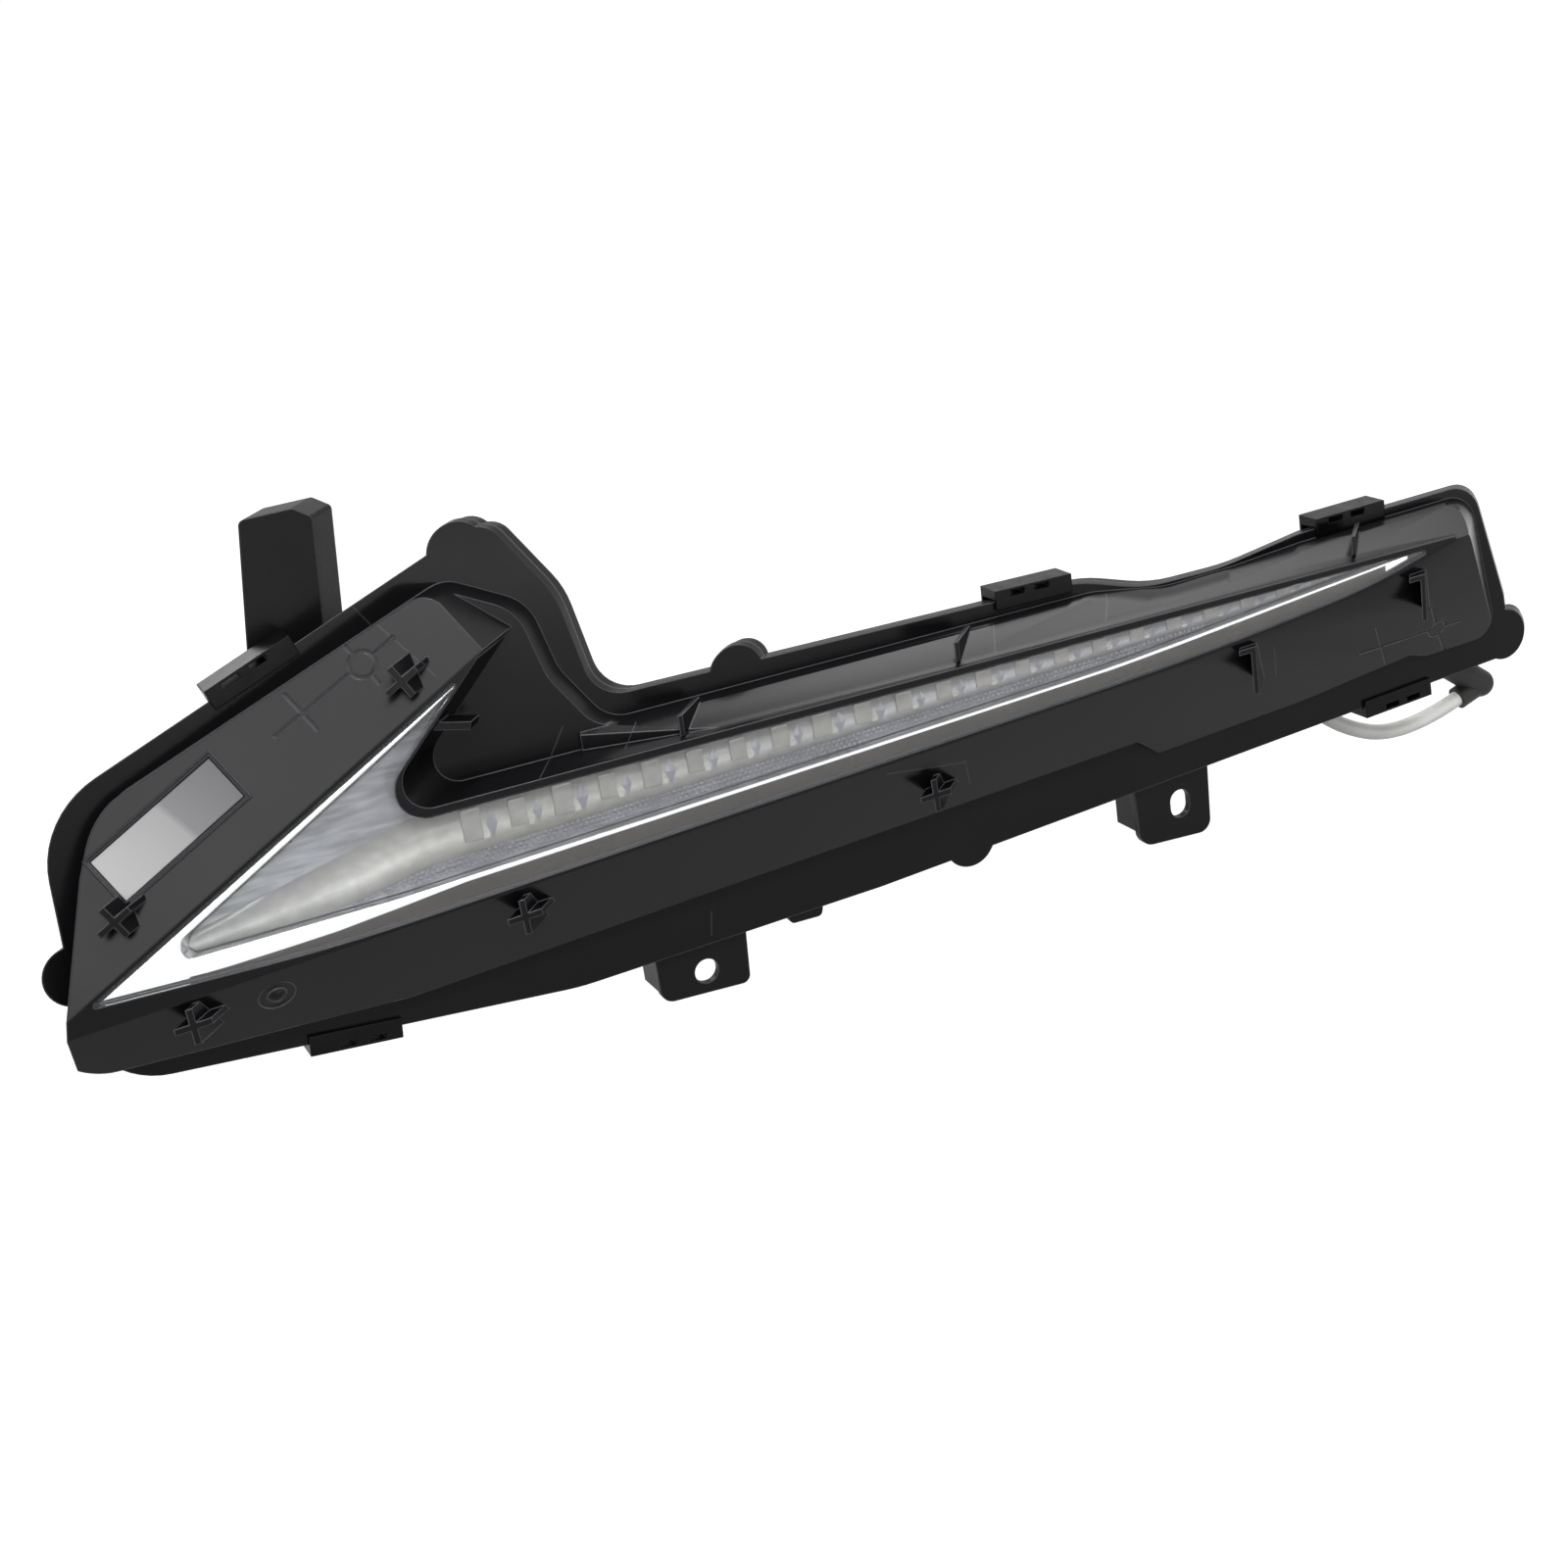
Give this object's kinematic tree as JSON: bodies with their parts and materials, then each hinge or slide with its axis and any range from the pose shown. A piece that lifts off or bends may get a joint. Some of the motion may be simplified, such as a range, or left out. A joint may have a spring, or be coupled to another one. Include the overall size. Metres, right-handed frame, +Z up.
{
  "type": "driving light",
  "caption": "Arrow-shaped bumper driving light: black cover with a clear lens over a lit strip, chrome bezel, rear housing with mounting tabs, bracket arm, driver module and jumper cable.",
  "frame": {"origin": "centre of the inner tab's bolt hole, on the seating plane at the tabs' back faces", "axes": "+X along the lamp towards its outer narrow end, -Y is the way the lens looks, +Z up"},
  "size_m": [0.578, 0.0831, 0.1988],
  "materials": {
    "front_cover": "satin moulded black",
    "outer_lens": "clear moulded polycarbonate",
    "marking_panel": "smooth, bare",
    "chrome_bezel": "metallised",
    "inner_lens": "prismatic clear",
    "led_reflector": "silvered reflector",
    "leds": "phosphor",
    "led_board": "white solder mask",
    "heat_sink": "mill finish",
    "seal_bead": "cured sealant",
    "rear_housing": "moulded black",
    "rear_screws": "zinc plated",
    "edge_clips": "moulded black",
    "driver_gasket": "matt",
    "driver_case": "die cast",
    "driver_board": "solder mask",
    "driver_screws": "zinc plated",
    "driver_plug": "moulded black",
    "cable_boot": "satin",
    "lead_cable": "grey jacket",
    "breather_cap": "moulded black"
  },
  "bodies": {
    "root": {"front_cover": "front_cover", "outer_lens": "outer_lens", "marking_panel": "marking_panel", "chrome_bezel": "chrome_bezel", "inner_lens": "inner_lens", "led_reflector": "led_reflector", "leds": "leds", "led_board": "led_board", "heat_sink": "heat_sink", "seal_bead": "seal_bead", "rear_housing": "rear_housing", "rear_screws": "rear_screws", "edge_clips": "edge_clips", "driver_gasket": "driver_gasket", "driver_case": "driver_case", "driver_board": "driver_board", "driver_screws": "driver_screws", "driver_plug": "driver_plug", "cable_boot": "cable_boot", "lead_cable": "lead_cable", "breather_cap": "breather_cap"}
  },
  "joints": []
}
